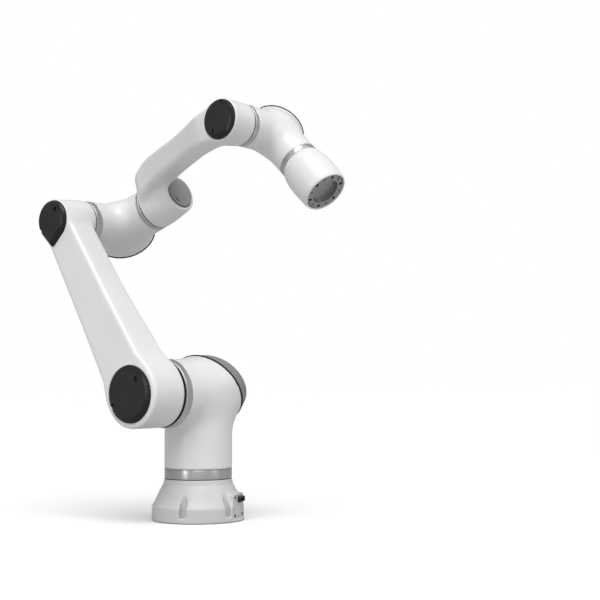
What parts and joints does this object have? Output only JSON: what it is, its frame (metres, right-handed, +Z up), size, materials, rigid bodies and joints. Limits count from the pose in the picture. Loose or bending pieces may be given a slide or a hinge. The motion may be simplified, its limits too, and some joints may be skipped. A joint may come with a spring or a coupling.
{
  "type": "collaborative robot arm",
  "caption": "Collaborative robot arm on a round base: a jointed arm of rounded white castings with metal rings at the joints and a round tool flange.",
  "frame": {"origin": "the middle of the base's underside, on the turning axis of joint 1", "axes": "+Z up, out of the mounting surface and along joint 1; +X is the way the forearm reaches at rest; -Y is the outboard side that carries the upper arm"},
  "size_m": [0.6034, 0.2699, 0.7518],
  "materials": {
    "white_paint": "satin",
    "base_paint": "satin",
    "ring_metal": "polished",
    "anodised_grey": "matte",
    "dark_plastic": "matte",
    "grey_plastic": "satin",
    "black_rubber": "matte",
    "bare_steel": "satin",
    "motor_black": "satin"
  },
  "bodies": {
    "base": {"base_housing": "base_paint", "base_plate": "anodised_grey", "connector_panel": "anodised_grey", "cable_connector": "dark_plastic"},
    "shoulder": {"shoulder_housing": "white_paint", "shoulder_gasket": "black_rubber", "shoulder_rear_cover": "grey_plastic", "joint1_trim_ring": "ring_metal", "joint1_bearing": "bare_steel", "joint1_strain_wave_gear": "bare_steel", "joint1_motor": "motor_black", "joint1_brake_and_encoder": "grey_plastic", "joint2_trim_ring": "ring_metal", "joint2_bearing": "bare_steel", "joint2_strain_wave_gear": "bare_steel", "joint2_motor": "motor_black", "joint2_brake_and_encoder": "grey_plastic"},
    "upper_arm": {"upper_arm": "white_paint", "shoulder_cap": "dark_plastic", "elbow_cap": "dark_plastic"},
    "elbow": {"elbow_housing": "white_paint", "elbow_gasket": "black_rubber", "elbow_rear_cover": "grey_plastic", "joint3_trim_ring": "ring_metal", "joint3_bearing": "bare_steel", "joint3_strain_wave_gear": "bare_steel", "joint3_motor": "motor_black", "joint3_brake_and_encoder": "grey_plastic", "joint4_trim_ring": "ring_metal", "joint4_bearing": "bare_steel", "joint4_strain_wave_gear": "bare_steel", "joint4_motor": "motor_black", "joint4_brake_and_encoder": "grey_plastic"},
    "forearm": {"forearm": "white_paint", "forearm_end_cap": "grey_plastic", "wrist_cap": "dark_plastic"},
    "wrist": {"wrist_housing": "white_paint", "wrist_gasket": "black_rubber", "wrist_rear_cover": "grey_plastic", "joint5_trim_ring": "ring_metal", "joint5_bearing": "bare_steel", "joint5_strain_wave_gear": "bare_steel", "joint5_motor": "motor_black", "joint5_brake_and_encoder": "grey_plastic", "joint6_trim_ring": "ring_metal", "joint6_bearing": "bare_steel", "joint6_strain_wave_gear": "bare_steel", "joint6_motor": "motor_black", "joint6_brake_and_encoder": "grey_plastic"},
    "tool": {"flange_housing": "white_paint", "tool_flange": "anodised_grey"}
  },
  "joints": [
    {"name": "joint1", "type": "hinge", "parent": "base", "child": "shoulder", "pos_m": [0, 0, 0], "axis": [0, 0, 1], "range_deg": [-360, 360]},
    {"name": "joint2", "type": "hinge", "parent": "shoulder", "child": "upper_arm", "pos_m": [0, 0, 0.233], "axis": [0, -1, 0], "range_deg": [-167.7, 102.3]},
    {"name": "joint3", "type": "hinge", "parent": "upper_arm", "child": "elbow", "pos_m": [-0.20529, 0, 0.55277], "axis": [0, 1, 0], "range_deg": [-255.3, 50.7]},
    {"name": "joint4", "type": "hinge", "parent": "elbow", "child": "forearm", "pos_m": [-0.20529, 0, 0.55277], "axis": [0.9373, 0, 0.3486], "range_deg": [-360, 360]},
    {"name": "joint5", "type": "hinge", "parent": "forearm", "child": "wrist", "pos_m": [0.18274, 0, 0.69708], "axis": [-0.014, -0.9992, 0.0376], "range_deg": [-115.5, 244.5]},
    {"name": "joint6", "type": "hinge", "parent": "wrist", "child": "tool", "pos_m": [0.18274, 0, 0.69708], "axis": [0.7179, -0.0362, -0.6952], "range_deg": [-360, 360]}
  ]
}
